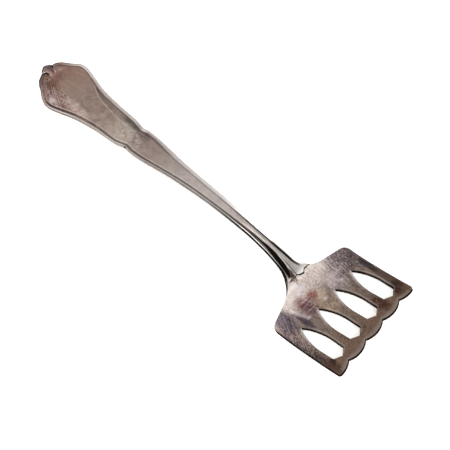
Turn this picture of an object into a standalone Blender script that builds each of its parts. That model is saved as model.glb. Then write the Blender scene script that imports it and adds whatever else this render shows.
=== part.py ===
"""Sardine fork: a stamped handle soldered over the tang of a pierced, curved fork head.

Units are metres and +Z is up. +X runs from the end of the handle to the tine tips.
The fork lies as on a table, on the flat end of its handle and on the belly of its head.
Each piece is drawn flat first, by its station along the fork, its offset across it and
its height above the middle of the head's sheet. It is then formed along the spine, the
side profile that all pieces share.
"""
import bisect
import math

import bmesh
import bpy

# Side profile: length along the metal, and runs in order from the handle's end.
# Slopes are in degrees, and the grip's own length and slope follow from the rest.
FORK_LENGTH = 0.15441
END_FLAT = 0.0151
END_BEND = 0.010
CREST_BEND = 0.0293
NECK_FALL = 31.0
NECK_STRAIGHT = 0.0046
HEEL_BEND = 0.0044
BELLY_FLAT = 0.003
TOE_BEND = 0.007
TOE_RISE = 18.0
TIP_RISE = 30.0
BEND_STEP = 4.0
LEAST_RISE = 0.5
MOST_RISE = 40.0
RISE_ROUNDS = 40

# Handle in plan: half widths, and the stations where they apply
TIP_HALF = 0.0012
END_HALF = 0.0099
END_STATION = 0.0105
CURVE_HALF = 0.0073
CURVE_STATION = 0.0223
WAIST_HALF = 0.00605
WAIST_STATION = 0.0325
PINCH_HALF = 0.0056
PINCH_STATION = 0.0392
NOTCH_HALF = 0.0045
NOTCH_STATION = 0.0442
LOBE_HALF = 0.0050
LOBE_LENGTH = 0.0025
TAPER_HALF = 0.0031
TAPER_LENGTH = 0.0212
SHANK_HALF = 0.00175
SHANK_SETBACK = 0.0206
THROAT_HALF = 0.0020
THROAT_SETBACK = 0.0071
NECK_HALF = 0.0026

# Handle in section
HANDLE_BELOW = 0.0010
HANDLE_ABOVE = 0.0010
SHANK_ABOVE = 0.0019
LOWER_CHAMFER = 0.0006
CHAMFER_SHARE = 0.25
BORDER_WIDTH = 0.0012
BORDER_SHARE = 0.36
BORDER_DROP = 0.00012
BORDER_SIDE_DROP = 0.0004
GROOVE_WIDTH = 0.0004
GROOVE_DEPTH = 0.0004
PANEL_CROWN = 0.00015

# Lap joint: the handle's foot over the head's tang, with solder between
LAP_LENGTH = 0.0075
LAP_STEP = 0.0004
FOOT_SETBACK = 0.0054
FOOT_EDGE = 0.0005
FOOT_RELIEF = 0.35
FLUSH_LENGTH = 0.012
SOLDER_FILM = 0.0002
SOLDER_FILLET = 0.0006
SOLDER_RISE = 0.0003
SOLDER_INSET = 0.0003
JOINT_CLEARANCE = 0.0001

# Fork head in plan
BLADE_THICKNESS = 0.0013
TINES = 5
TINE_PITCH = 0.0087
OUTER_EDGE = 0.0017
HEAD_LENGTH = 0.0289
SHOULDER_SETBACK = 0.0031
SHOULDER_SLOPE = 16.1
SHOULDER_RADIUS = 0.003
NECK_FILLET = 0.0102
SCALLOP_DEPTH = 0.00145
TIP_CORNER = 0.0008
SLOT_LENGTH = 0.01765
SLOT_HALF = 0.0027
SLOT_OGIVE = 0.0104
SLOT_END_HALF = 0.00255
SLOT_VEE = 0.00175
BRIDGE = 0.0024

# Facets
RING_STEP = 0.003
RING_MERGE = 0.0004
TIP_RINGS = 7
ARC_FACETS = 7
SCALLOP_FACETS = 8
WELD = 1e-7

# Finish: linear colours of the worn plate and of the solder
HANDLE_COLOUR = 0.40, 0.33, 0.29
BLADE_COLOUR = 0.33, 0.27, 0.25
SOLDER_COLOUR = 0.42, 0.38, 0.34
PLATE_ROUGHNESS = 0.3
SOLDER_ROUGHNESS = 0.4

# Sizes worked out from the ones above
SHEET_HALF = BLADE_THICKNESS / 2
BLADE_HALF = TINE_PITCH * (TINES - 1) / 2 + OUTER_EDGE
FILM_BASE = SHEET_HALF + JOINT_CLEARANCE
FOOT_BASE = FILM_BASE + SOLDER_FILM + JOINT_CLEARANCE
FOOT_TOP = FOOT_BASE + FOOT_EDGE


def bend_drop(length, first, last):
    """Height gained along a bend of this length between two slopes in degrees."""
    turn = math.radians(last - first)
    return length * (math.cos(math.radians(first)) - math.cos(math.radians(last))) / turn


BELLY_STATION = FORK_LENGTH - HEAD_LENGTH - SHOULDER_SETBACK
GRIP_STRAIGHT = BELLY_STATION - END_FLAT - END_BEND - CREST_BEND - NECK_STRAIGHT - HEEL_BEND


def belly_height(rise):
    """Height of the belly's underside over the table when the grip rises at this slope."""
    height = HANDLE_BELOW + bend_drop(END_BEND, 0, rise)
    height += GRIP_STRAIGHT * math.sin(math.radians(rise))
    height += bend_drop(CREST_BEND, rise, -NECK_FALL)
    height -= NECK_STRAIGHT * math.sin(math.radians(NECK_FALL))
    return height + bend_drop(HEEL_BEND, -NECK_FALL, 0) - SHEET_HALF


def grip_rise():
    """Slope of the grip that brings the handle's end and the belly down to one table."""
    low, high = LEAST_RISE, MOST_RISE
    for _ in range(RISE_ROUNDS):
        middle = (low + high) / 2
        if belly_height(middle) > 0:
            high = middle
        else:
            low = middle
    return low


GRIP_RISE = grip_rise()
SHOULDER_STATION = BELLY_STATION + SHOULDER_SETBACK
FOOT_STATION = SHOULDER_STATION - FOOT_SETBACK
LAP_STATION = FOOT_STATION - LAP_LENGTH
SHANK_STATION = LAP_STATION - SHANK_SETBACK
THROAT_STATION = LAP_STATION - THROAT_SETBACK
LOBE_STATION = NOTCH_STATION + LOBE_LENGTH
TAPER_STATION = NOTCH_STATION + TAPER_LENGTH
SWEEP = FORK_LENGTH - BELLY_STATION - BELLY_FLAT - TOE_BEND


def walk_spine():
    """Frames along the spine: station, x, z and slope, closest together in the bends."""
    runs = [
        (END_FLAT, 0), (END_BEND, GRIP_RISE), (GRIP_STRAIGHT, GRIP_RISE),
        (CREST_BEND, -NECK_FALL), (NECK_STRAIGHT, -NECK_FALL), (HEEL_BEND, 0),
        (BELLY_FLAT, 0), (TOE_BEND, TOE_RISE), (SWEEP, TIP_RISE),
    ]
    frames = [(0.0, 0.0, HANDLE_BELOW, 0.0)]
    for length, end_slope in runs:
        first = frames[-1][3]
        turn = math.radians(end_slope) - first
        steps = max(1, math.ceil(abs(math.degrees(turn)) / BEND_STEP))
        part = length / steps
        chord = part * math.sin(turn / steps / 2) / (turn / steps / 2) if turn else part
        for step in range(steps):
            station, x, z, slope = frames[-1]
            middle = slope + turn / steps / 2
            frames.append((
                station + part,
                x + chord * math.cos(middle),
                z + chord * math.sin(middle),
                slope + turn / steps,
            ))
    return frames


FRAMES = walk_spine()
SPINE_STATIONS = [frame[0] for frame in FRAMES]


def side_point(frame, height):
    """Point of the side profile at one frame, raised square to the spine."""
    _, x, z, slope = frame
    return x - height * math.sin(slope), z + height * math.cos(slope)


LENGTH = side_point(FRAMES[-1], -SHEET_HALF)[0]


def place(station, across, height):
    """Formed position of a flat point, with the fork's middle over the origin."""
    index = min(max(bisect.bisect_right(SPINE_STATIONS, station), 1), len(FRAMES) - 1)
    before, after = FRAMES[index - 1], FRAMES[index]
    share = (station - before[0]) / (after[0] - before[0])
    x0, z0 = side_point(before, height)
    x1, z1 = side_point(after, height)
    return x0 + (x1 - x0) * share - LENGTH / 2, across, z0 + (z1 - z0) * share


def smooth_curve(points, station, level=True):
    """Value at a station on the smooth curve through points that doesn't overshoot them.

    A level curve starts and ends flat, and any other along its first and last chords.
    """
    stations = [point[0] for point in points]
    index = min(max(bisect.bisect_right(stations, station), 1), len(points) - 1)
    rises = [
        (after[1] - before[1]) / (after[0] - before[0])
        for before, after in zip(points, points[1:])
    ]

    def slope_at(number):
        if number in (0, len(points) - 1):
            return 0.0 if level else rises[max(number - 1, 0)]
        before, after = rises[number - 1], rises[number]
        return 2 * before * after / (before + after) if before * after > 0 else 0.0

    (s0, v0), (s1, v1) = points[index - 1], points[index]
    span = s1 - s0
    t = min(max((station - s0) / span, 0.0), 1.0)
    start = (1 + 2 * t) * (1 - t) ** 2 * v0 + t * (1 - t) ** 2 * span * slope_at(index - 1)
    return start + t * t * (3 - 2 * t) * v1 + t * t * (t - 1) * span * slope_at(index)


def neck_flare():
    """Station where the neck's fillet begins, and the angle that the fillet turns."""
    slope = math.radians(SHOULDER_SLOPE)
    corner = SHOULDER_STATION - (BLADE_HALF - NECK_HALF) * math.tan(slope)
    turn = math.pi / 2 - slope
    return corner - NECK_FILLET * math.tan(turn / 2), turn


FLARE_STATION, FLARE_TURN = neck_flare()


def handle_half(station):
    """Half width of the handle in plan."""
    if station <= END_STATION:
        swell = math.sin(math.pi / 2 * station / END_STATION)
        return TIP_HALF + (END_HALF - TIP_HALF) * swell
    if station <= NOTCH_STATION:
        grip = (
            (2 * END_STATION - CURVE_STATION, CURVE_HALF), (END_STATION, END_HALF),
            (CURVE_STATION, CURVE_HALF), (WAIST_STATION, WAIST_HALF),
            (PINCH_STATION, PINCH_HALF), (NOTCH_STATION, NOTCH_HALF),
        )
        return smooth_curve(grip, station, level=False)
    if station <= FLARE_STATION:
        shank = (
            (NOTCH_STATION, NOTCH_HALF), (LOBE_STATION, LOBE_HALF),
            (TAPER_STATION, TAPER_HALF), (SHANK_STATION, SHANK_HALF),
            (THROAT_STATION, THROAT_HALF), (FLARE_STATION, NECK_HALF),
        )
        return smooth_curve(shank, station, level=False)
    return NECK_HALF + NECK_FILLET - math.sqrt(NECK_FILLET ** 2 - (station - FLARE_STATION) ** 2)


def handle_section(station):
    """Ring of the handle at a station, as (across, height) points round the section."""
    half = handle_half(station)
    border = min(BORDER_WIDTH, BORDER_SHARE * half)
    groove = min(GROOVE_WIDTH, border / 2)
    panel = half - border - groove
    top = smooth_curve((
        (0, HANDLE_ABOVE), (NOTCH_STATION, HANDLE_ABOVE),
        (LAP_STATION, SHANK_ABOVE), (FOOT_STATION, FOOT_TOP),
    ), station)
    relief = smooth_curve(((0, 1), (LAP_STATION, 1), (FOOT_STATION, FOOT_RELIEF)), station)
    if station > LAP_STATION:
        under = FOOT_BASE
    else:
        flush = (LAP_STATION - FLUSH_LENGTH, -HANDLE_BELOW), (LAP_STATION, -SHEET_HALF)
        under = smooth_curve(flush, station)
    chamfer = min(LOWER_CHAMFER, CHAMFER_SHARE * (top - under))
    right = [
        (half - chamfer, under),
        (half, under + chamfer),
        (half, top - BORDER_SIDE_DROP * relief),
        (half - border / 2, top - BORDER_DROP * relief),
        (half - border, top - GROOVE_DEPTH * relief),
        (panel, top - PANEL_CROWN * relief),
        (panel / 2, top - PANEL_CROWN * relief / 4),
    ]
    left = [(-across, height) for across, height in reversed(right)]
    return right + [(0.0, top)] + left


def ring_stations(fixed):
    """Stations for rings: the fixed ones, the spine's bends and even steps between."""
    first, last = min(fixed), max(fixed)
    even = [first + RING_STEP * step for step in range(int((last - first) / RING_STEP))]
    chosen = list(fixed)
    for station in SPINE_STATIONS + even:
        if first < station < last and all(abs(station - kept) > RING_MERGE for kept in chosen):
            chosen.append(station)
    return sorted(chosen)


def finish(name, bm, colour, roughness):
    """Turn a bmesh into a named object with its own material."""
    bmesh.ops.recalc_face_normals(bm, faces=bm.faces)
    mesh = bpy.data.meshes.new(name)
    bm.to_mesh(mesh)
    bm.free()
    material = bpy.data.materials.new(name)
    material.use_nodes = True
    shader = material.node_tree.nodes["Principled BSDF"]
    shader.inputs["Base Color"].default_value = (*colour, 1.0)
    shader.inputs["Metallic"].default_value = 1.0
    shader.inputs["Roughness"].default_value = roughness
    mesh.materials.append(material)
    part = bpy.data.objects.new(name, mesh)
    bpy.context.scene.collection.objects.link(part)
    return part


def loft(rings):
    """Closed skin over rings of formed points that all have the same count."""
    bm = bmesh.new()
    loops = [[bm.verts.new(point) for point in ring] for ring in rings]
    for before, after in zip(loops, loops[1:]):
        for index in range(len(before)):
            following = (index + 1) % len(before)
            bm.faces.new((before[index], before[following], after[following], after[index]))
    bm.faces.new(loops[0])
    bm.faces.new(loops[-1])
    return bm


def make_handle():
    """Handle: curled end, bordered grip, shank and the foot that laps the head."""
    tip = [END_STATION * (step / TIP_RINGS) ** 2 for step in range(TIP_RINGS + 1)]
    seat = [LAP_STATION, LAP_STATION + LAP_STEP, FOOT_STATION]
    stations = ring_stations(tip + [NOTCH_STATION, LOBE_STATION] + seat)
    rings = [
        [place(station, *point) for point in handle_section(station)] for station in stations
    ]
    return finish("handle", loft(rings), HANDLE_COLOUR, PLATE_ROUGHNESS)


def make_solder():
    """Solder: a film in the lap, and a fillet standing against the end of the foot."""
    start = LAP_STATION + LAP_STEP + JOINT_CLEARANCE
    film_top = FILM_BASE + SOLDER_FILM
    fillet = FOOT_STATION + JOINT_CLEARANCE
    tops = [(station, film_top) for station in ring_stations([start, FOOT_STATION])]
    tops += [(fillet, FOOT_BASE + SOLDER_RISE), (fillet + SOLDER_FILLET, film_top)]
    rings = []
    for station, top in tops:
        half = handle_half(min(station, FOOT_STATION)) - SOLDER_INSET
        section = (half, FILM_BASE), (half, top), (-half, top), (-half, FILM_BASE)
        rings.append([place(station, *point) for point in section])
    return finish("solder_seam", loft(rings), SOLDER_COLOUR, SOLDER_ROUGHNESS)


def arc(centre, radius, first, last, facets):
    """Points on an arc in plan, angles in radians from the station axis."""
    turns = [first + (last - first) * step / facets for step in range(facets + 1)]
    return [
        (centre[0] + radius * math.cos(turn), centre[1] + radius * math.sin(turn))
        for turn in turns
    ]


def head_outline():
    """Outline of the fork head in plan, as a closed list of (station, across) points."""
    slope = math.radians(SHOULDER_SLOPE)
    tang = LAP_STATION + LAP_STEP + JOINT_CLEARANCE
    half = [(station, handle_half(station)) for station in ring_stations([tang, FLARE_STATION])][:-1]
    neck = FLARE_STATION, NECK_HALF + NECK_FILLET
    half += arc(neck, NECK_FILLET, -math.pi / 2, -math.pi / 2 + FLARE_TURN, ARC_FACETS)
    corner = (
        SHOULDER_STATION - SHOULDER_RADIUS * math.tan(slope) + SHOULDER_RADIUS / math.cos(slope),
        BLADE_HALF - SHOULDER_RADIUS,
    )
    half += arc(corner, SHOULDER_RADIUS, math.pi - slope, math.pi / 2, ARC_FACETS)
    scallop = ((TINE_PITCH / 2) ** 2 + SCALLOP_DEPTH ** 2) / (2 * SCALLOP_DEPTH)

    def edge(across, middle):
        return FORK_LENGTH - scallop + math.sqrt(scallop ** 2 - (across - middle) ** 2)

    outer = BLADE_HALF - OUTER_EDGE
    inner_corner = BLADE_HALF - TIP_CORNER
    tip = edge(inner_corner, outer) - TIP_CORNER, inner_corner
    half += arc(tip, TIP_CORNER, math.pi / 2, 0, ARC_FACETS // 2)
    top = inner_corner
    middle = outer
    while middle > -TINE_PITCH / 4:
        bottom = max(middle - TINE_PITCH / 2, 0.0)
        for step in range(1, SCALLOP_FACETS + 1):
            across = top + (bottom - top) * step / SCALLOP_FACETS
            half.append((edge(across, middle), across))
        top = bottom
        middle -= TINE_PITCH
    mirrored = [(station, -across) for station, across in reversed(half) if across > WELD]
    return half + mirrored


def slot_outline(across):
    """Lancet slot: pointed toward the handle, with a shallow vee toward the tips."""
    vertex = FORK_LENGTH - SCALLOP_DEPTH - BRIDGE
    point = vertex - SLOT_LENGTH
    radius = (SLOT_OGIVE ** 2 + SLOT_HALF ** 2) / (2 * SLOT_HALF)
    reach = math.asin(SLOT_OGIVE / radius)
    centre = point + SLOT_OGIVE, SLOT_HALF - radius
    side = arc(centre, radius, math.pi / 2 + reach, math.pi / 2, ARC_FACETS)[1:]
    side.append((vertex - SLOT_VEE, SLOT_END_HALF))
    other = [(station, -offset) for station, offset in reversed(side)]
    outline = [(point, 0.0)] + side + [(vertex, 0.0)] + other
    return [(station, across + offset) for station, offset in outline]


def flat_plate(outlines):
    """Flat plate of the head's thickness, filled inside the first outline but not the rest."""
    curve = bpy.data.curves.new("blank", "CURVE")
    curve.dimensions = "2D"
    curve.fill_mode = "BOTH"
    curve.extrude = SHEET_HALF
    for outline in outlines:
        spline = curve.splines.new("POLY")
        spline.points.add(len(outline) - 1)
        for point, (station, across) in zip(spline.points, outline):
            point.co = (station, across, 0.0, 1.0)
        spline.use_cyclic_u = True
    blank = bpy.data.objects.new("blank", curve)
    bm = bmesh.new()
    bm.from_mesh(blank.to_mesh())
    bpy.data.objects.remove(blank)
    bmesh.ops.remove_doubles(bm, verts=bm.verts, dist=WELD)
    return bm


def make_blade():
    """Fork head: a pierced blank, scored at the spine's bends and formed along it."""
    slots = [
        slot_outline((number - (TINES - 2) / 2) * TINE_PITCH) for number in range(TINES - 1)
    ]
    bm = flat_plate([head_outline()] + slots)
    for station in SPINE_STATIONS:
        geometry = bm.verts[:] + bm.edges[:] + bm.faces[:]
        bmesh.ops.bisect_plane(bm, geom=geometry, plane_co=(station, 0, 0), plane_no=(1, 0, 0))
    for vertex in bm.verts:
        vertex.co = place(*vertex.co)
    return finish("blade", bm, BLADE_COLOUR, PLATE_ROUGHNESS)


def main():
    """Build the three pieces in an empty scene."""
    for item in list(bpy.data.objects):
        bpy.data.objects.remove(item)
    make_handle()
    make_blade()
    make_solder()


main()
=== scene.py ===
# %% [markdown]
# # A sardine fork in worn silver plate
# The fork has three pieces: a stamped handle, a pierced head, and the solder that joins
# them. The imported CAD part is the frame, which gives the sizes, the place and the body
# that everything rides on. This lesson builds finer pieces on the same lines, drawn flat
# first and then bent along one spine, as the real ones were formed from flat blanks.

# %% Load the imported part
import math

import bmesh
import bpy
import numpy as np
from mathutils import Matrix, Vector


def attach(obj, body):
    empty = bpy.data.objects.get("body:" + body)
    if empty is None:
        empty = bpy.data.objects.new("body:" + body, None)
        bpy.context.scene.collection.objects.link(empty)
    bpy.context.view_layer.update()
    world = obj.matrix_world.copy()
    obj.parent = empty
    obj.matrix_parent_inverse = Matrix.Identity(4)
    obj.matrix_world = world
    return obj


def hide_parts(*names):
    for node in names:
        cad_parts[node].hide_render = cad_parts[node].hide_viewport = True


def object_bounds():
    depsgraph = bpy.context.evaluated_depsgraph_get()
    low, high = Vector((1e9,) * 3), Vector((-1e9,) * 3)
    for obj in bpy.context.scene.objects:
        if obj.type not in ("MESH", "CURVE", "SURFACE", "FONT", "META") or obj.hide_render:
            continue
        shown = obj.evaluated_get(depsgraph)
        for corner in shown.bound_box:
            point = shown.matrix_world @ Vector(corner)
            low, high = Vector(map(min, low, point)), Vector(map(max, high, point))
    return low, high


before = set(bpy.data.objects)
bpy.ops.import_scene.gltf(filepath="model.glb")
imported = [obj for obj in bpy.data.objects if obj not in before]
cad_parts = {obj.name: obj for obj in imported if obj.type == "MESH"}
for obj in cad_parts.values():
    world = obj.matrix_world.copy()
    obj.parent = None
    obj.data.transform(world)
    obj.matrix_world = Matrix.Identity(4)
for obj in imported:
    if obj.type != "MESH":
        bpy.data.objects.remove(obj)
cad_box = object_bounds()
# Lengths are in millimetres from here on, and MM turns them into metres.
MM = 0.001
print("CAD box, mm:", [[round(value / MM, 2) for value in corner] for corner in cad_box])

# %% [markdown]
# ## Nodes in one line each
# Node trees carry the finish and most of the forming. Blender's own calls need a line for
# every setting and every link, which makes a tree hard to read. So a single function adds a
# node, sets its properties, and fills or links its inputs, for geometry and for materials
# alike. Another calls it for sums, which come up often.

# %% Add and fill nodes


def fill(tree, node, links):
    """Give a node's inputs a value, a socket to link from, or a node's first output."""
    for socket, value in links.items():
        if isinstance(value, bpy.types.Node):
            value = value.outputs[0]
        if isinstance(value, bpy.types.NodeSocket):
            tree.links.new(value, node.inputs[socket])
        else:
            node.inputs[socket].default_value = value


def add_node(tree, kind, links=None, **settings):
    """Add a node with its settings, and fill its inputs."""
    node = tree.nodes.new(kind)
    for name, value in settings.items():
        setattr(node, name, value)
    fill(tree, node, links or {})
    return node


def maths(tree, kind, operation, *values):
    """Add a Math or VectorMath node on values in the order of its inputs."""
    return add_node(tree, "ShaderNode" + kind, dict(enumerate(values)), operation=operation)


print("nodes are added by", add_node.__name__, "and", maths.__name__)

# %% [markdown]
# ## The spine
# Seen from the side, the fork lies flat at the handle's end, climbs, arches over a crest,
# dives down the neck and lies on its belly before the tines sweep up. That line is the
# spine: a chain of straight runs and even bends. A few Bezier handles could draw it, but
# its length would then drift. So it is stepped finely, and Geometry Nodes can read a
# position and a direction at any distance along it.

# %% Step along the spine
# Each run has a length in mm, and the slope in degrees that it ends with.
RUNS = (
    (15.1, 0), (10, 8), (59.01, 8), (29.3, -31), (4.6, -31), (4.4, 0), (3, 0), (7, 18), (22, 30),
)
FORK_LENGTH = sum(length for length, _ in RUNS)
HANDLE_BELOW = 1.0
SPINE_STEP = 0.1


def put(name, data):
    """New object in the scene, at the origin."""
    thing = bpy.data.objects.new(name, data)
    bpy.context.scene.collection.objects.link(thing)
    return thing


ends = np.cumsum([0] + [length for length, _ in RUNS])
slopes = np.radians([0] + [slope for _, slope in RUNS])
steps = round(FORK_LENGTH / SPINE_STEP)
step = FORK_LENGTH / steps
headings = np.interp((np.arange(steps) + 0.5) * step, ends, slopes)
spine_x = np.append(0, np.cumsum(np.cos(headings))) * step + cad_box[0].x / MM
spine_z = np.append(0, np.cumsum(np.sin(headings))) * step + HANDLE_BELOW
spine_curve = bpy.data.curves.new("spine", "CURVE")
spine_curve.dimensions = "3D"
spline = spine_curve.splines.new("POLY")
spline.points.add(len(spine_x) - 1)
for point, x, z in zip(spline.points, spine_x, spine_z):
    point.co = (x * MM, 0.0, z * MM, 1.0)
spine = put("spine", spine_curve)
print(f"spine: {len(spine_x)} points, crest at {spine_z.max():.2f} mm")

# %% [markdown]
# ## Bending a flat piece along the spine
# A flat piece is drawn with its station along the fork as x, its offset across as y and
# its height above the middle of the sheet as z. The tree below samples the spine at x,
# goes sideways by y, and out along the spine's normal by z. A Curve modifier could bend a
# piece too, but this tree also finds the steep cut edges while the piece is still flat.
# Every piece uses the same tree, so pieces that meet when flat still meet when bent.

# %% Tree that forms a flat piece


def new_tree(name, sockets):
    """Empty geometry tree with named inputs and one geometry output."""
    tree = bpy.data.node_groups.new(name, "GeometryNodeTree")
    for label, kind in sockets:
        tree.interface.new_socket(label, in_out="INPUT", socket_type="NodeSocket" + kind)
    tree.interface.new_socket("Geometry", in_out="OUTPUT", socket_type="NodeSocketGeometry")
    return tree, tree.nodes.new("NodeGroupInput").outputs, tree.nodes.new("NodeGroupOutput")


forming, given, result = new_tree("form_along_spine", (
    ("Geometry", "Geometry"), ("Spine", "Object"), ("Steepest face", "Float"),
    ("Face", "Material"), ("Cut edge", "Material"),
))
flat_normal = add_node(forming, "GeometryNodeInputNormal")
upright = add_node(forming, "ShaderNodeSeparateXYZ", {0: flat_normal})
level = maths(forming, "Math", "ABSOLUTE", upright.outputs["Z"])
steep = add_node(forming, "FunctionNodeCompare", {
    0: level, 1: given["Steepest face"]}, operation="LESS_THAN")
cut_apart = add_node(forming, "GeometryNodeStoreNamedAttribute", {
    "Geometry": given["Geometry"], "Name": "cut", "Value": steep,
}, data_type="BOOLEAN", domain="FACE")
path = add_node(forming, "GeometryNodeObjectInfo", {"Object": given["Spine"]})
place = add_node(forming, "GeometryNodeInputPosition")
flat = add_node(forming, "ShaderNodeSeparateXYZ", {0: place})
there = add_node(forming, "GeometryNodeSampleCurve", {
    "Curves": path.outputs["Geometry"], "Length": flat.outputs["X"]}, mode="LENGTH")
outward = maths(
    forming, "VectorMath", "CROSS_PRODUCT", there.outputs["Tangent"], (0, 1, 0))
raised = maths(
    forming, "VectorMath", "MULTIPLY_ADD", outward, flat.outputs["Z"], there.outputs["Position"])
sideways = add_node(forming, "ShaderNodeCombineXYZ", {"Y": flat.outputs["Y"]})
formed = maths(forming, "VectorMath", "ADD", raised, sideways)
bent = add_node(
    forming, "GeometryNodeSetPosition", {"Geometry": cut_apart, "Position": formed})
whole = add_node(forming, "GeometryNodeRealizeInstances", {"Geometry": bent})
faced = add_node(
    forming, "GeometryNodeSetMaterial", {"Geometry": whole, "Material": given["Face"]})
cut_faces = add_node(
    forming, "GeometryNodeInputNamedAttribute", {"Name": "cut"}, data_type="BOOLEAN")
edged = add_node(forming, "GeometryNodeSetMaterial", {
    "Geometry": faced, "Selection": cut_faces, "Material": given["Cut edge"]})
fill(forming, result, {0: edged})
print(forming.name, "has", len(forming.nodes), "nodes")

# %% Use a tree, form a piece
SHARP = math.radians(38)
TINY_EDGE = 0.0002
STEEPEST_FACE = 0.8


def use_tree(piece, tree, values):
    """Add a tree to a piece as a modifier, with its inputs set by identifier."""
    modifier = piece.modifiers.new(tree.name, "NODES")
    modifier.node_group = tree
    for item in tree.interface.items_tree:
        if item.in_out == "INPUT" and item.name in values:
            modifier[item.identifier] = values[item.name]


def form(piece, face, cut_edge):
    """Bend a flat piece along the spine, clean its mesh and shade it smooth to its corners."""
    use_tree(piece, forming, {
        "Spine": spine, "Steepest face": STEEPEST_FACE, "Face": face, "Cut edge": cut_edge})
    graph = bpy.context.evaluated_depsgraph_get()
    mesh = bpy.data.meshes.new_from_object(
        piece.evaluated_get(graph), preserve_all_data_layers=True, depsgraph=graph)
    piece.modifiers.clear()
    piece.data = mesh
    bm = bmesh.new()
    bm.from_mesh(mesh)
    bmesh.ops.remove_doubles(bm, verts=bm.verts, dist=TINY_EDGE * MM)
    bmesh.ops.dissolve_degenerate(bm, edges=bm.edges, dist=TINY_EDGE * MM)
    bmesh.ops.recalc_face_normals(bm, faces=bm.faces)
    bm.to_mesh(mesh)
    bm.free()
    mesh.shade_smooth()
    mesh.set_sharp_from_angle(angle=SHARP)
    print(piece.name, "has", len(mesh.polygons), "faces")


print(f"corners over {math.degrees(SHARP):.0f} degrees stay sharp")

# %% [markdown]
# ## Silver plate and its tarnish
# The fork is electroplated silver, stamped and then polished. Decades of use leave it
# rubbed and pale on the shank, warm brown at the handle's end and on the tines, scratched
# and stained, and black in the grooves that no cloth reaches. A painted picture could show
# all that, but nodes stay sharp at any size. So one colour ramp runs along the fork for the
# broad change, and marks are laid over it: ovals with a place, a size and a colour, either
# plain or cut up by a pattern of clouds, specks, pits or scratches. Black tarnish is a film
# of sulphide and no metal, so where it lies the mirror turns dull. The same black is also
# painted as shade and dark reflection on walls, edges and slopes, and a pale tone as wear
# and as painted highlights on rims and ridges. All patterns read Object coordinates, and
# their sizes are given in millimetres.

# %% Tones and marks of the handle
MOTTLE_SIZE = 3.0
# Real specks are near 0.1 mm and real scratches near 0.03 mm wide. Both are drawn coarser,
# so that they show in a picture of the whole fork.
SPECK_SIZE = 0.65
SCRATCH_LENGTH, SCRATCH_WIDTH = 5.0, 0.32
# Marks wander by this much from their ovals, and fade from this share of them outward.
WANDER = 1.3
CORE = 0.55
EVERYWHERE = 0, 0, 400, 400
# The pale colour serves for wear and for painted highlights, the black for tarnish and for painted
# shade.
LILAC, PALE_WEAR_AND_HIGHLIGHT, TARNISH_AND_SHADE_BLACK = "#4A3A40", "#EFE9E6", "#0C0908"
ROSE, BLOOM = "#C2ABA3", "#2A2123"

# A tone is a place along x in mm and its colour. A mark is an oval: its middle and its half
# lengths in mm, a colour, a strength, and the pattern that cuts it up, if any. A number as
# pattern means scratches, by their direction in degrees. Later marks lie over earlier ones.
# The darker tones at 18 and 27 mm are painted shade on the crest and the top of the neck.
HANDLE_TONES = (
    (-75, "#776462"), (-71, "#7D6359"), (-66, "#846A5D"), (-58, "#88736A"), (-48, "#958176"),
    (-40, "#A69489"), (-36, "#ADA095"), (-30, "#A1918A"), (-26, "#98857E"), (-22, "#95837C"),
    (-13, "#A59A92"), (0, "#B6ACA5"), (10, "#ADA49E"), (18, "#88807B"), (27, "#97908A"),
    (36, "#C2BBB6"), (46, "#D2CCC8"),
)
HANDLE_MARKS = (
    # Stains from the leaf to the grip, behind the nick and on the foot.
    (-73.8, 1.2, 2.2, 1.9, "#5C5054", 0.55), (-71.9, 0.9, 1.5, 0.7, "#6A342E", 0.6),
    (-68.3, -3.4, 4.4, 3.2, "#563D30", 0.7), (-63.5, -6.8, 4, 2, "#7A6564", 0.5),
    (-54, -4.2, 9, 2, "#C2AEA4", 0.45), (-29, 2.6, 4, 1.6, "#5C4A4A", 0.6),
    (-33.6, -1, 3.4, 3.6, "#BAB09C", 0.25), (40.9, -1.4, 2.6, 1.1, "#54423A", 0.95),
    # Clouds and specks that break them up.
    (-60, 0, 8, 6, "#857B6C", 0.6, "cloud"), (-70, 0, 5, 8, "#6B4A3E", 0.65, "cloud"),
    (-63, -6, 8, 3.4, "#523536", 0.65, "cloud"), (-48, 0, 14, 7, "#7A6A5E", 0.35, "cloud"),
    (-63.5, -5.6, 8, 4, "#3E2428", 0.75, "speck"), (40.9, -1.4, 2.6, 1.3, "#2E2119", 0.9, "speck"),
    (-28.6, 1, 3.6, 3.4, "#5C4648", 0.25, "cloud"), (-28.6, 1, 3.6, 3.2, "#4A3438", 0.45, "speck"),
    # A bright spot on the shoulder, then pits and scratches.
    (-63.4, -7.7, 1.8, 1, "#B8AEAC", 0.7), (-62.5, -5.5, 9, 4, "#B89A90", 0.5, "pit"),
    (-63, -5, 7, 4, ROSE, 0.6, -32), (-53, -3.9, 9, 2.4, "#DCCAC2", 0.45, 66),
    (-48, 1, 12, 6, ROSE, 0.24, 58), (*EVERYWHERE, PALE_WEAR_AND_HIGHLIGHT, 0.06, 8),
    # Wear round the nick, then a haze over all.
    (-31, 0, 11, 5, "#6E5A56", 0.3, "speck"), (-33, -1, 10, 5, "#D8CCC4", 0.3, "pit"),
    (*EVERYWHERE, LILAC, 0.18, "cloud"), (*EVERYWHERE, LILAC, 0.2, "speck"),
)
print(len(HANDLE_TONES), "tones and", len(HANDLE_MARKS), "marks on the handle")

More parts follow.
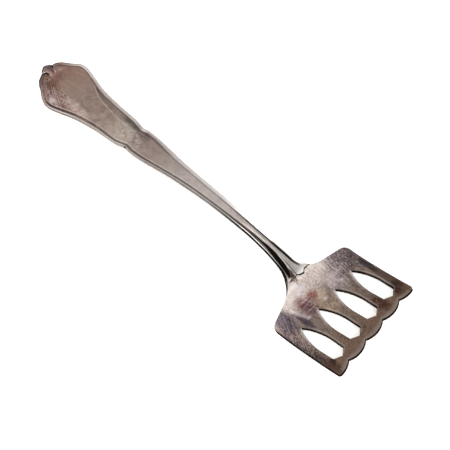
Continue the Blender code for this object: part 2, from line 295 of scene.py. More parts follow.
# %% Tones and marks of the head and the solder
HEAD_TONES = (
    (38, "#B0A8A3"), (44, "#A89E98"), (49, "#988A84"), (53, "#8B7A73"), (58, "#87766C"),
    (64, "#887566"), (70, "#907462"), (75, "#8C705D"),
)
HEAD_MARKS = (
    # Dark stains on the right shoulder and its tine.
    (50, 13, 6, 7, "#66575A", 0.6), (50.2, 16.5, 5.4, 4.6, "#4E4144", 0.75),
    (58.2, 17.7, 4.8, 1.4, "#2A242E", 0.88), (65, 18, 7, 2.2, "#4A3A32", 0.7),
    (69.7, 16.2, 2.6, 3.4, "#2A1A18", 0.85),
    # Brown on the inner tines.
    (69.2, 9, 4, 2.8, "#4C2812", 0.85), (61, 9, 6, 1.2, "#6E5B50", 0.5),
    (69.4, -1.4, 1.8, 1.8, "#5E493C", 0.6),
    # Dark stains on the left shoulder and its tine, and both outer tips.
    (49.6, -14.8, 5.8, 3.8, "#403644", 0.85), (56, -17.8, 7, 2.4, "#625258", 0.8),
    (65, -17.9, 6, 2, "#524544", 0.8), (69.8, -16.4, 1.7, 0.8, "#120D0B", 0.95),
    (71, -17.6, 3.4, 2.6, "#4E352C", 0.7), (71.6, 16.4, 3.2, 3.6, "#543424", 0.5),
    (54.6, -10.5, 4.8, 1.4, "#4A3C45", 0.9),
    # The palm: tan, then red, then pale patches.
    (55.4, -0.6, 6.4, 4.6, "#B8A08A", 0.6), (54, -5.6, 3.4, 2.6, "#7E5E58", 0.55),
    (50.8, -6.4, 4.8, 2.3, "#4E2A32", 0.88), (50.6, -2, 2, 2.3, "#7A4238", 0.75),
    (53.4, 7.2, 3.6, 3.8, "#B0A2A2", 0.7), (45.6, -8.6, 2.6, 4, "#B4AAA8", 0.6),
    (45.6, -3.2, 2.6, 2.8, "#B2ABAC", 0.6),
    # Brown that has run out of the solder.
    (47, 1, 7, 5, "#5C5048", 0.5, "speck"), (42.9, -1.5, 1.7, 1.2, "#6E5C54", 0.7),
    (43, -1.6, 2, 1.5, "#2E2119", 0.85, "speck"),
    # Specks, clouds and pits that break the stains up.
    (50, 14.5, 8, 6, BLOOM, 0.9, "speck"), (51, 14, 9, 7, "#382A2C", 0.7, "cloud"),
    (51.5, -5, 5.5, 5, "#2E1A1E", 0.6, "speck"), (51, -5, 5, 5, "#5A3436", 0.5, "cloud"),
    (60, -17.6, 12, 2.8, "#120D0D", 0.95, "speck"), (59, -17.2, 11, 2.8, ROSE, 0.45, "pit"),
    (63, 0, 13, 22, "#4E3A38", 0.3, "cloud"), (64, 0, 13, 20, "#3E2E2C", 0.4, "speck"),
    (64, 0, 13, 20, ROSE, 0.3, "pit"), (50, -13, 7, 5, "#1E1822", 0.7, "speck"),
    # Scratches: dark in the left shoulder, light elsewhere.
    (51, -14, 8, 4, "#17121C", 0.95, -26), (57, -16.4, 8, 3, ROSE, 0.6, -30),
    (54.6, -10.5, 4.6, 1.6, "#17121C", 0.7, 18), (51, -5.5, 5.5, 4, ROSE, 0.4, 82),
    (57, 0, 6, 4, "#B79A7C", 0.5, -34), (51, 8, 9, 9, PALE_WEAR_AND_HIGHLIGHT, 0.25, -6),
    # Last specks and scratches of the shoulders, then a haze over all.
    (53.6, 16.6, 4.6, 2.6, "#0A0708", 0.9, "speck"), (50.5, -14.5, 6, 4, ROSE, 0.22, -34),
    (50, 9, 9, 12, PALE_WEAR_AND_HIGHLIGHT, 0.2, "pit"), (50, 0, 14, 20, LILAC, 0.25, "speck"),
    (50, 0, 13, 22, LILAC, 0.22, "cloud"), (*EVERYWHERE, PALE_WEAR_AND_HIGHLIGHT, 0.06, 17),
)
SOLDER_TONES = (34, "#A0968F"), (44, "#8E837B")
SOLDER_MARKS = (
    (42, -1.6, 2.4, 1.6, "#8A7870", 0.9), (42.2, -1.6, 2.4, 1.8, "#1E1511", 0.6, "speck"),
    (42.2, -1.6, 2.6, 1.7, "#2E2119", 0.7, -14), (*EVERYWHERE, LILAC, 0.3, "cloud"),
)
print(len(HEAD_MARKS), "marks on the head,", len(SOLDER_MARKS), "on the solder")

# %% Colours and ranges


def linear(hex_colour):
    """Linear RGBA of an sRGB hex colour."""
    parts = [int(hex_colour[at:at + 2], 16) / 255 for at in (1, 3, 5)]
    return [p / 12.92 if p <= 0.04045 else ((p + 0.055) / 1.055) ** 2.4 for p in parts] + [1.0]


def remap(tree, value, source, target=(0, 1)):
    """Add a Map Range node from one (low, high) pair to another."""
    return add_node(tree, "ShaderNodeMapRange", dict(enumerate((value, *source, *target))))


print("mid grey in linear light:", [round(part, 3) for part in linear("#808080")])

# %% Tones, patterns and marks as nodes
# The noise at which each pattern begins to show, and at which it shows in full.
CLOUD_SHOWS, SPECK_SHOWS, PIT_SHOWS = (0.44, 0.60), (0.52, 0.64), (0.46, 0.36)
SCRATCH_SHOWS = 0.54, 0.66


def tone_along(tree, drift, tones):
    """Colour that changes along the fork, from its tones."""
    first, last = tones[0][0], tones[-1][0]
    along = add_node(tree, "ShaderNodeSeparateXYZ", {0: drift})
    way = remap(tree, along.outputs["X"], (first * MM, last * MM))
    colour = add_node(tree, "ShaderNodeValToRGB", {0: way})
    stops = colour.color_ramp.elements
    for place, tone in tones[1:-1]:
        stops.new((place - first) / (last - first)).color = linear(tone)
    stops[0].color, stops[-1].color = linear(tones[0][1]), linear(tones[-1][1])
    return colour


def mark_patterns(tree, spot, mottle, grains, marks):
    """Masks for clouds, specks and pits by name, and for scratches by direction."""
    sources = {
        "cloud": (mottle, CLOUD_SHOWS), "speck": (grains, SPECK_SHOWS), "pit": (grains, PIT_SHOWS)}
    for turn in {mark[-1] for mark in marks if isinstance(mark[-1], int)}:
        run = add_node(tree, "ShaderNodeMapping", {
            "Vector": spot, "Rotation": (0, 0, math.radians(turn)),
            "Scale": (SCRATCH_LENGTH * MM, SCRATCH_WIDTH * MM, SCRATCH_LENGTH * MM),
        }, vector_type="TEXTURE")
        streak = add_node(tree, "ShaderNodeTexNoise", {
            "Vector": run, "Scale": 1.0, "Detail": 1.0})
        sources[turn] = streak, SCRATCH_SHOWS
    return {label: remap(tree, noise, shows) for label, (noise, shows) in sources.items()}


def mark_layers(tree, drift, patterns, marks):
    """Amount and colour of each mark: an oval, faded to its rim and cut by its pattern."""
    layers = []
    for x, y, length, width, stain, strength, *pattern in marks:
        size = 1 / (length * MM), 1 / (width * MM), 0
        scaled = maths(tree, "VectorMath", "MULTIPLY", drift, size)
        far = maths(tree, "VectorMath", "DISTANCE", scaled, (x / length, y / width, 0))
        amount = remap(tree, far.outputs["Value"], (CORE, 1), (strength, 0))
        for label in pattern:
            amount = maths(tree, "Math", "MULTIPLY", amount, patterns[label])
        layers.append((amount, stain))
    return layers


print("patterns on the solder:", [mark[-1] for mark in SOLDER_MARKS if len(mark) > 6])

# %% Worn silver plate
PATCHES = 0.3, 0.7
PLATE_ROUGH = 0.24, 0.40
TARNISH_AND_SHADE_ROUGH = 0.2
PIT_STRENGTH, PIT_DEPTH = 0.08, 0.05


def new_material(name):
    """New material, with its node tree and its shader."""
    material = bpy.data.materials.new(name)
    material.use_nodes = True
    return material, material.node_tree, material.node_tree.nodes["Principled BSDF"]


def silver_plate(name, tones, marks):
    """Worn silver plate: a rough mirror, toned along the fork, with marks laid over."""
    material, tree, shader = new_material(name)
    spot = add_node(tree, "ShaderNodeTexCoord").outputs["Object"]
    mottle = add_node(tree, "ShaderNodeTexNoise", {
        "Vector": spot, "Scale": 1 / (MOTTLE_SIZE * MM), "Detail": 5.0, "Roughness": 0.62})
    grains = add_node(tree, "ShaderNodeTexNoise", {
        "Vector": spot, "Scale": 1 / (SPECK_SIZE * MM), "Detail": 3.0, "Roughness": 0.6})
    level = maths(tree, "VectorMath", "SUBTRACT", mottle.outputs["Color"], (0.5, 0.5, 0.5))
    drift = maths(tree, "VectorMath", "MULTIPLY_ADD", level, (WANDER * 2 * MM,) * 3, spot)

    # The mesh's pale attribute lays on wear and painted highlight, its black attribute tarnish and
    # painted shade.
    worn_and_lit = add_node(tree, "ShaderNodeAttribute", attribute_name="rub").outputs["Fac"]
    black = add_node(tree, "ShaderNodeAttribute", attribute_name="tarnish").outputs["Fac"]
    patterns = mark_patterns(tree, spot, mottle, grains, marks)
    layers = mark_layers(tree, drift, patterns, marks)
    tint = tone_along(tree, drift, tones)
    for amount, stain in layers + [(worn_and_lit, PALE_WEAR_AND_HIGHLIGHT), (black, TARNISH_AND_SHADE_BLACK)]:
        tint = add_node(tree, "ShaderNodeMix", {
            0: amount, 6: tint, 7: linear(stain)}, data_type="RGBA").outputs[2]
    bare = maths(tree, "Math", "SUBTRACT", 1, black)
    rough = remap(tree, mottle, PATCHES, PLATE_ROUGH)
    duller = maths(tree, "Math", "MULTIPLY_ADD", black, TARNISH_AND_SHADE_ROUGH, rough)
    pitted = add_node(tree, "ShaderNodeBump", {
        "Height": grains, "Strength": PIT_STRENGTH, "Distance": PIT_DEPTH * MM})
    fill(tree, shader, {
        "Base Color": tint, "Metallic": bare, "Specular IOR Level": 0.0, "Roughness": duller,
        "Normal": pitted})
    return material


# Polished by handling: a soft, warm mirror that goes from brown to almost white.
handle_plate = silver_plate("rubbed_silver_plate", HANDLE_TONES, HANDLE_MARKS)
# Stained by food: duller, with brown, lilac and black patches over the shine.
head_plate = silver_plate("stained_silver_plate", HEAD_TONES, HEAD_MARKS)
# Never polished: a grey run, streaked with brown, that goes black at its rim, a painted shadow of
# the step.
solder_metal = silver_plate("tarnished_solder", SOLDER_TONES, SOLDER_MARKS)
for material in (handle_plate, head_plate, solder_metal):
    print(material.name, "has", len(material.node_tree.nodes), "nodes")

# %% Cut edges painted dark as shade
EDGE_GRAIN = 0.9
EDGE_BLACK, EDGE_BROWN = "#080605", "#2A1F19"
EDGE_ROUGH = 0.55, 0.8

# Steep walls painted nearly black as shade and dark reflection, so that every slot reads as a
# drawn line.
edge, tree, shader = new_material("shaded_cut_edge")
spot = add_node(tree, "ShaderNodeTexCoord").outputs["Object"]
grain = add_node(tree, "ShaderNodeTexNoise", {
    "Vector": spot, "Scale": 1 / (EDGE_GRAIN * MM), "Detail": 3.0})
colour = add_node(tree, "ShaderNodeValToRGB", {0: grain})
for stop, tone in zip(colour.color_ramp.elements, (EDGE_BLACK, EDGE_BROWN)):
    stop.color = linear(tone)
rough = remap(tree, grain, (0, 1), EDGE_ROUGH)
fill(tree, shader, {"Base Color": colour, "Specular IOR Level": 0.0, "Roughness": rough})
print(edge.name, "has", len(edge.node_tree.nodes), "nodes")

# %% [markdown]
# ## The handle's outline
# In plan the handle is a violin: a leaf at the very end between two scrolled shoulders, a
# waist, a nick on each side, then a long taper to the neck, which flares into the head.
# One traced curve could draw it, but the relief needs the width at any station. The two
# sides differ at the leaf, as they do on hand-cut dies. So each side has its own list of
# half widths, joined by a smooth curve that doesn't overshoot them.

# %% Half widths of the handle
NOTCH = 44.2
BELLY = FORK_LENGTH - 32.0
SHOULDER = BELLY + 3.1
FOOT = SHOULDER - 5.4
LAP = FOOT - 7.5
BLADE_HALF = 19.1
NECK_HALF, NECK_FILLET, SHOULDER_SLOPE = 2.6, 10.2, math.radians(16.1)
FLARE = (
    SHOULDER - (BLADE_HALF - NECK_HALF) * math.tan(SHOULDER_SLOPE)
    - NECK_FILLET * math.tan((math.pi / 2 - SHOULDER_SLOPE) / 2)
)
RIGHT_GRIP = (
    (0, 0.15), (0.12, 0.8), (0.4, 1.35), (1, 2.1), (1.7, 2.6), (2, 3.75), (3.4, 5.6),
    (5.8, 7.25), (7.35, 8.4), (8.8, 9.5), (10, 9.95), (11.3, 10.1), (16.7, 9), (22.3, 7.6),
    (32.5, 6.45), (39.2, 6), (NOTCH, 4.95),
)
LEFT_GRIP = (
    (0, 0.15), (0.12, 0.7), (0.4, 1.2), (0.85, 1.95), (1.4, 2.35), (1.75, 3.2), (2.4, 4.7),
    (3.4, 5.8), (4.6, 6.75), (5.3, 7.05), (6.5, 8.1), (8.9, 9.7), (10.6, 10.25), (11.6, 10.3),
    (16.7, 9), (20, 7.9), (23.3, 7.05), (32.5, 5.85), (39.2, 5.55), (NOTCH, 4.45),
)
RIGHT_SHANK = (
    (NOTCH, 4.95), (NOTCH + 2.5, 5.45), (NOTCH + 21.2, 3.7), (LAP - 31, 2.65), (LAP - 21, 2),
    (LAP - 13, 1.85), (LAP - 7.1, 2), (FLARE, NECK_HALF),
)
LEFT_SHANK = (
    (NOTCH, 4.45), (NOTCH + 2.5, 4.85), (NOTCH + 21.2, 3.1), (LAP - 32, 2.45), (LAP - 22, 2.4),
    (LAP - 13, 2.2), (LAP - 7.1, 2.25), (FLARE, NECK_HALF),
)
RIGHT_SIDE = RIGHT_GRIP, RIGHT_SHANK
LEFT_SIDE = LEFT_GRIP, LEFT_SHANK


def curve(points, where):
    """Values on a smooth curve through (station, value) points, without overshoot."""
    at, value = np.array(points, float).T
    rise = np.diff(value) / np.diff(at)
    turn = rise[:-1] * rise[1:]
    mean = 2 * turn / np.where(turn > 0, rise[:-1] + rise[1:], 1.0)
    slope = np.concatenate([rise[:1], np.where(turn > 0, mean, 0.0), rise[-1:]])
    i = np.clip(np.searchsorted(at, where) - 1, 0, len(at) - 2)
    span = at[i + 1] - at[i]
    t = np.clip((where - at[i]) / span, 0.0, 1.0)
    start = (1 + 2 * t) * (1 - t) ** 2 * value[i] + t * (1 - t) ** 2 * span * slope[i]
    return start + t * t * (3 - 2 * t) * value[i + 1] + t * t * (t - 1) * span * slope[i + 1]


def neck_half(where, reach=NECK_FILLET):
    """Half width of the neck on its fillet, as far as the fillet reaches."""
    flare = np.clip(where - FLARE, 0, reach)
    return NECK_HALF + NECK_FILLET - np.sqrt(NECK_FILLET ** 2 - flare ** 2)


def handle_half(side, where):
    """Half width of one side of the handle, from its grip and shank points."""
    grip_points, shank_points = side
    shank = np.where(where < FLARE, curve(shank_points, where), neck_half(where))
    return np.where(where < NOTCH, curve(grip_points, where), shank)


print(f"lap from {LAP:.2f} to {FOOT:.2f} mm, neck flares at {FLARE:.2f} mm")

# %% [markdown]
# ## The handle's relief
# The stamping has a thread round its edge, a groove inside that, and a raised panel. On
# the grip the panel falls to the groove in a long crescent facet on each side, and on the
# shank its sides become steep walls. It could be sculpted, but then no length could be
# named. Heights are worked out on a fine grid from one measure, the distance to the edge.
# The leaf and the scroll at the end are strokes: a line of points that raises or sinks the
# metal around it, as a graver does.

# %% Grid over the handle
ROW_STEP = 0.24
COLUMNS = 121
CROWDING = 0.25
TIP_ROWS = 72
TIP_REACH = 6.0
LAP_STEP = 0.06
TOE_RUN = 3.0
# How far the foot's end reaches over its straight line, by offset.
FOOT_TOE = (
    (-6, -0.9), (-0.5, -0.9), (0.1, -0.7), (0.5, -0.05), (1.45, 0.55), (2.3, 0.88), (2.9, 0.3),
    (3.45, -0.1), (4.5, 0), (5.6, 0.4),
)

lead = TIP_REACH * (np.arange(TIP_ROWS) / TIP_ROWS) ** 2
rest = np.linspace(TIP_REACH, LAP, int((LAP - TIP_REACH) / ROW_STEP))
seat = np.linspace(LAP + LAP_STEP, FOOT, int((FOOT - LAP) / ROW_STEP))
rows = np.concatenate([lead, rest, seat])
even = np.linspace(-1, 1, COLUMNS)
share = (1 - CROWDING) * even + CROWDING * np.sin(even * math.pi / 2)
toe_share = np.clip((rows - FOOT + TOE_RUN) / TOE_RUN, 0, 1)
right = handle_half(RIGHT_SIDE, rows + FOOT_TOE[-1][1] * toe_share)
left = handle_half(LEFT_SIDE, rows + FOOT_TOE[0][1] * toe_share)
offset = np.where(share > 0, share * right[:, None], share * left[:, None])
station = rows[:, None] + curve(FOOT_TOE, offset) * toe_share[:, None]
right_side = offset > 0
print("handle grid:", station.shape)

# %% Distance to the edge
TRACE_POINTS, TRACE_STEP = 80, 0.06
TRACE_PAST = 9
REACH = 12

trace = np.concatenate([
    np.linspace(0, TIP_REACH, TRACE_POINTS) ** 2 / TIP_REACH,
    np.arange(TIP_REACH, FOOT + TRACE_PAST, TRACE_STEP)])


def grid_of(*parts):
    """Grid of points from their parts, spread to one shape."""
    return np.stack(np.broadcast_arrays(*parts), axis=-1)


def edge_distance(side, sign):
    """Distance from each grid point to one side's outline."""
    line = grid_of(trace, sign * handle_half(side, trace))
    away = np.empty_like(station)
    for index, at in enumerate(rows):
        near = line[np.abs(line[:, 0] - at) < REACH]
        step = grid_of(station[index], offset[index])[:, None] - near
        away[index] = np.sqrt((step ** 2).sum(-1)).min(1)
    return away


gap = np.minimum(edge_distance(RIGHT_SIDE, 1), edge_distance(LEFT_SIDE, -1))
print(f"widest distance to an edge: {gap.max():.2f} mm")

# %% Border, facets and groove along the handle
NOWHERE = (0, 0), (FOOT, 0)


def bump(distance, width):
    """Soft bump of unit height."""
    return np.exp(-(distance / width) ** 2)


def rising(value, start, end):
    """Straight ramp from 0 to 1."""
    return np.clip((value - start) / (end - start), 0.0, 1.0)


def by_side(right_points, left_points):
    """Curve along the handle, with its own (station, value) points for each side."""
    return np.where(right_side, curve(right_points, station), curve(left_points, station))


def line_at(at, width, right_points, left_points):
    """Soft line at a distance from the edge, with its strength along each side."""
    return by_side(right_points, left_points) * bump(gap - at, width)


top = curve(((0, 1), (NOTCH, 1), (LAP, 1.9), (FOOT, 1.55), (FOOT + 9, 1.55)), station)
relief = curve(((0, 1), (LAP - 2, 1), (FOOT, 0.4), (FOOT + 9, 0.4)), station)
border = by_side(
    ((0, 1), (14, 1.1), (20, 1.25), (24, 1.4), (40, 1.4), (NOTCH, 1.3), (48, 1.15), (60, 1.4),
     (70, 1.25), (84, 1.2), (96, 0.95), (105, 0.75), (LAP, 0.65), (117, 0.5), (FOOT, 0.4)),
    ((0, 1), (12, 1.1), (18, 1.2), (24, 1.35), (30, 1.25), (36, 1), (39, 0.9), (NOTCH, 1),
     (50, 0.9), (60, 0.8), (70, 0.95), (80, 0.8), (88, 0.75), (96, 0.8), (104, 0.75),
     (LAP, 0.65), (FOOT, 0.5)))
facet = by_side(
    ((0, 0.3), (14, 0.3), (18, 0.4), (21, 1.2), (25, 2), (30, 2.3), (35, 2.7), (40, 2.5),
     (43.4, 1.5), (NOTCH, 0.7), (46, 0.75), (50, 0.65), (55, 0.5), (60, 0.35), (75, 0.3),
     (92, 0.4), (98, 0.7), (104, 1.2), (LAP, 1.85), (117, 3), (FOOT, 4.6)),
    ((0, 0.3), (NOTCH, 0.4), (60, 0.35), (90, 0.35), (96, 0.5), (100, 0.75), (104, 1.2),
     (108, 1.6), (LAP, 1.95), (116, 2.6), (FOOT, 4.6)))
fall = by_side(
    ((0, 0.06), (12, 0.06), (18, 0.1), (25, 0.3), (34, 0.42), (41, 0.36), (NOTCH, 0.15),
     (46, 0.24), (55, 0.2), (60, 0.08), (80, 0.08), (92, 0.12), (104, 0.28), (LAP, 0.34),
     (FOOT, 0.2)),
    ((0, 0.06), (3, 0.06), (14, 0.16), (NOTCH, 0.16), (60, 0.14), (80, 0.18), (92, 0.25),
     (98, 0.4), (104, 0.6), (108, 0.65), (LAP, 0.55), (116, 0.42), (FOOT, 0.34)))
groove = by_side(
    ((0, 0.03), (12, 0.04), (20, 0.12), (44, 0.2), (50, 0.2), (58, 0.07), (80, 0.05), (90, 0.2),
     (104, 0.28), (116, 0.15), (FOOT, 0)),
    ((0, 0.03), (9, 0.04), (13, 0.24), (22, 0.12), (44, 0.12), (70, 0.14), (95, 0.2),
     (104, 0.12), (FOOT, 0)))
print(f"facets fall by up to {fall.max():.2f} mm")

# %% Height of the relief
LIP = 0.1
GROOVE_WIDTH, CROWN = 0.2, 0.12
BEAD, BEAD_AT = 0.17, 0.36
SECOND_BEAD, SECOND_AT, SECOND_WIDTH = 0.3, 0.80, 0.10
FOOT_FALL, FOOT_WIPED = 0.6, 1.2
CREASE, CREASE_AT, CREASE_BOW, CREASE_WIDTH = 0.02, NOTCH + 0.3, 0.012, 0.9

facet_foot = border + LIP
facet_top = facet_foot + facet
slope = rising(gap, facet_foot, facet_top)
bead = BEAD * rising(station, 8, 16)
bead_half = BEAD_AT * border
thread = np.sqrt(np.clip(1 - ((gap - bead_half) / bead_half) ** 2, 0, 1))
second = SECOND_BEAD * bead * bump(gap - SECOND_AT * border, SECOND_WIDTH)
height = top - fall * (1 - slope) - groove * bump(gap - border, GROOVE_WIDTH)
height += (bead * thread + second - bead) * relief * (gap < border)
height -= CROWN * (offset / (right + left)[:, None] * 2) ** 2 * relief
height -= FOOT_FALL * rising(station, FOOT - 6, FOOT - 0.9) ** 2 * rising(-offset, 0.0, FOOT_WIPED)
height -= CREASE * bump(station - CREASE_AT - CREASE_BOW * offset ** 2, CREASE_WIDTH) * slope
print(f"relief from {height.min():.2f} to {height.max():.2f} mm")

# %% Tarnish in the grooves, and a painted dark reflection on the facet
GROOVE_FULL, GROOVE_IN = 1.6, 0.02
THREAD_WIDTH, RIGHT_THREAD, LEFT_THREAD = 0.15, 0.70, 0.52
SHADE_FADE = 0.9

lined = by_side(
    ((0, 0), (13, 0), (20, 0.3), (26, 0.6), (42, 0.85), (NOTCH, 0.65), (50, 0.5), (57, 0.35),
     (62, 0.16), (84, 0.14), (89, 0.6), (94, 1), (LAP, 1), (117, 0.9), (118.4, 0), (FOOT, 0)),
    ((0, 0), (8, 0.1), (11, 0.65), (15, 0.75), (24, 0.62), (44, 0.62), (62, 0.7), (80, 0.76),
     (92, 0.8), (98, 1), (104, 0.6), (FOOT, 0.3)))
line_width = by_side(
    ((0, 0.16), (20, 0.16), (32, 0.24), (NOTCH, 0.2), (50, 0.16), (92, 0.16), (104, 0.2),
     (106, 0.44), (LAP, 0.5), (117, 0.4), (FOOT, 0.2)),
    ((0, 0.2), (18, 0.2), (26, 0.12), (80, 0.12), (92, 0.15), (FOOT, 0.2)))
groove_dark = lined * np.minimum(GROOVE_FULL * bump(gap - border - GROOVE_IN, line_width), 1)

thread_dark = line_at(
    np.where(right_side, RIGHT_THREAD, LEFT_THREAD) * border, THREAD_WIDTH,
    ((0, 0), (11, 0), (17, 0.4), (80, 0.3), (90, 0), (FOOT, 0)),
    ((0, 0), (8, 0), (13, 0.95), (50, 0.95), (60, 0), (FOOT, 0)))
panel_dark = line_at(
    facet_top, THREAD_WIDTH,
    ((0, 0), (45.4, 0), (47, 0.75), (57, 0.6), (62, 0), (FOOT, 0)), NOWHERE)
# The crescent facet on the right is painted darker near the groove, a painted dark reflection.
shaded = by_side(
    ((0, 0), (17, 0), (20.5, 0.65), (24, 0.5), (28, 0.3), (32, 0.32), (35, 0.55), (38, 0.8),
     (43.6, 0.76), (NOTCH, 0.3), (46, 0.4), (54, 0.3), (60, 0), (FOOT, 0)),
    NOWHERE)
facet_dark = shaded * (gap > border) * (1 - SHADE_FADE * rising(slope, 0.45, 0.95))
tarnish = np.maximum.reduce([groove_dark, thread_dark, panel_dark, facet_dark])
print(f"mean tarnish of the handle {tarnish.mean():.2f}")

# %% Painted shade, a painted dark reflection and dark lines on the neck, the edge and the foot
BAND_BLUR = 0.1
CENTRE_FULL, CENTRE_AT, CENTRE_WIDTH, CENTRE_MOST = 1.5, -0.05, 0.16, 0.95
EDGE_FADES = -0.1, 0.04
NICK_LONG, NICK_AT, NICK_WIDTH = 1.7, -4.5, 0.42
TOE_FROM = 0.1

# A black band on the left slope of the neck is a painted dark reflection.
band_middle = curve((
    (95, -1.3), (99, -1.05), (102, -1.04), (105, -0.92), (108, -1.02), (110, -1.22),
    (113, -1.44), (116, -1.8), (118.5, -2.5), (FOOT, -2.8)), station)
band_half = curve((
    (95, 0), (99, 0.16), (102, 0.26), (105, 0.5), (108, 0.74), (110, 0.82), (113, 0.88),
    (116, 0.76), (118.5, 0.36), (FOOT, 0.1)), station)
from_band = rising(np.abs(offset - band_middle), band_half - BAND_BLUR, band_half + BAND_BLUR)
dark_reflection_band = (1 - from_band) * rising(station, 95, 98) * (1 - rising(station, 118, 119))
centre = np.minimum(CENTRE_FULL * bump(offset - CENTRE_AT, CENTRE_WIDTH), CENTRE_MOST)
centre_dark = centre * rising(station, 106, 113)

# The left outer edge is painted dark as shade.
outer_line = curve((
    (0, 0), (12, 0.25), (44, 0.35), (60, 0.7), (80, 0.9), (92, 1), (FOOT, 1)), station)
outer_wide = curve((
    (0, 0.14), (50, 0.14), (62, 0.2), (92, 0.22), (LAP, 0.28), (FOOT, 0.4)), station)
inward = rising(gap, outer_wide + EDGE_FADES[0], outer_wide + EDGE_FADES[1])
edge_dark = ~right_side * outer_line * (1 - inward)
nick_dark = bump(np.hypot((station - NOTCH) / NICK_LONG, offset - NICK_AT), NICK_WIDTH)
# The right half of the foot's end is painted dark as the step's shadow.
toe_dark = (offset > TOE_FROM) * rising(rows[:, None], FOOT - 0.55, FOOT - 0.25)
tarnish = np.maximum.reduce([tarnish, dark_reflection_band, centre_dark, edge_dark, nick_dark, toe_dark])
print(f"mean tarnish of the handle {tarnish.mean():.2f}")

# %% Rubbed threads and painted highlights on threads and ridges
THREAD_PALE_SHARE, RIGHT_HIGHLIGHT = 0.7, 0.8
OUTER_AT, OUTER_WIDTH = 0.25, 0.2
RIDGE_WIDTH = 0.13
CENTRE_HIGHLIGHT, CENTRE_HIGHLIGHT_AT, CENTRE_HIGHLIGHT_WIDTH = 0.6, 0.2, 0.14
BESIDE_AT, BESIDE_WIDTH = 0.42, 0.14

# The threads are pale from wear and from painted highlight, and the whole right border is painted
# lighter as a highlight.
rubbed_thread = by_side(
    ((0, 0), (5, 0.1), (8, 0.35), (14, 0.5), (24, 0.42), (60, 0.42), (84, 0.6), (95, 0.85),
     (FOOT, 0.85)),
    ((0, 0), (8, 0.15), (14, 0.3), (60, 0.2), (80, 0.25), (98, 0.3), (104, 0.6), (108, 0.5),
     (111, 0.3), (FOOT, 0.3)))
thread_rub = rubbed_thread * np.maximum(
    thread * (gap < THREAD_PALE_SHARE * border), RIGHT_HIGHLIGHT * right_side * (gap < border))
# Pale lines along the left bead, the right ridge, beside the left groove and on the neck's ridge
# are painted highlights.
bead_rub = line_at(
    OUTER_AT * border, OUTER_WIDTH,
    NOWHERE, ((0, 0), (9, 0), (13, 0.5), (50, 0.45), (60, 0), (FOOT, 0)))
ridge_rub = line_at(
    facet_top, RIDGE_WIDTH,
    ((0, 0), (17, 0), (22, 0.42), (42, 0.4), (44.5, 0), (FOOT, 0)), NOWHERE)
beside_rub = line_at(
    border + BESIDE_AT, BESIDE_WIDTH,
    NOWHERE, ((0, 0), (12, 0.25), (84, 0.25), (92, 0), (FOOT, 0)))
centre_rub = CENTRE_HIGHLIGHT * bump(offset - CENTRE_HIGHLIGHT_AT, CENTRE_HIGHLIGHT_WIDTH)
centre_rub *= rising(station, 97, 104) * (1 - rising(station, 111, 115))
rub = np.maximum.reduce([thread_rub, bead_rub, ridge_rub, centre_rub, beside_rub])
print(f"rubbed bright by up to {rub.max():.0%}")

# %% Leaf and scroll at the end
# Each stroke has a line of (station, offset) points in mm, a width and a lift in mm, and
# how dark or how pale it is. The dark of the strokes named shade and shadow is painted shade
# and shadow, and the pale along the rims and the curl is painted highlight.
STROKES = {
    "leaf": (((0.5, 0.2), (1.8, 0.6), (3.2, 0.7)), 1.15, 0.3, 0, 0),
    "leaf_vein": (((1, 0.6), (2.2, 1.1), (3.4, 0.9)), 0.3, -0.1, 0.15, 0),
    "leaf_shade": (((0.25, 0.4), (0.3, -0.6), (0.8, -1.6)), 0.35, -0.06, 0.85, 0),
    "right_cut": (((1.6, 2.75), (2.3, 2.15)), 0.28, -0.3, 1.6, 0),
    "right_cut_end": (((2.3, 2.15), (3.2, 1.5), (4.2, 0.75)), 0.22, -0.2, 0.3, 0),
    "right_cut_rim": (((2.5, 2.6), (3.2, 1.8), (4.6, 1.35)), 0.24, 0.06, 0, 0.2),
    "leaf_curl": (
        ((1.5, -1.6), (1.8, -1.2), (2.3, -0.65), (3.3, -0.45), (4.3, -0.6)), 0.24, 0.03, 0, 0.14),
    "curl_shadow": (
        ((1.85, -2.6), (1.95, -2), (2.25, -1.5), (2.7, -1.15), (3.3, -1)), 0.26, -0.35, 1.5, 0),
    "right_boss": (((2.8, 3.6), (4.4, 3.4)), 0.95, 0.2, 0, 0),
    "boss_edge": (((5.6, 4.7), (5.2, 3.7), (5, 2.4)), 0.3, 0.02, 0, 0.06),
    "scroll_eye": (((3.9, -1.9), (4.2, -1.8)), 0.5, 0.12, 0, 0),
    "eye_dot": (((4.6, -2.6), (4.65, -2.8)), 0.22, -0.1, 1.2, 0),
    "eye_shade": (((4.9, -1.5), (4.75, -1)), 0.3, -0.12, 0.45, 0),
    "inner_rim": (
        ((4.6, -0.7), (5.1, -1.2), (5.2, -1.9), (4.8, -3), (4.3, -3.8)), 0.28, 0.03, 0, 0.12),
    "scroll_rim": (
        ((3.3, -2.9), (4, -3.5), (5, -4.1), (6, -4.8), (7.2, -5.8), (8.4, -6.8), (9.4, -7.7)),
        0.35, 0.07, 0, 0.06),
    "scroll_valley": (
        ((2.6, -3.8), (3.6, -4.8), (5, -5.8), (6.6, -6.8)), 0.5, -0.08, 0.05, 0),
    "left_shade": (
        ((1.8, -3.2), (2.5, -4.9), (3.5, -6), (4.8, -7), (6, -7.8)), 0.42, -0.05, 1.6, 0),
    "hollow": (((5.8, -3), (6.8, -3.3)), 1.2, -0.16, 0.12, 0),
    "left_nick": (((5.3, -7.2), (5.9, -6.6)), 0.3, -0.06, 0.4, 0),
}


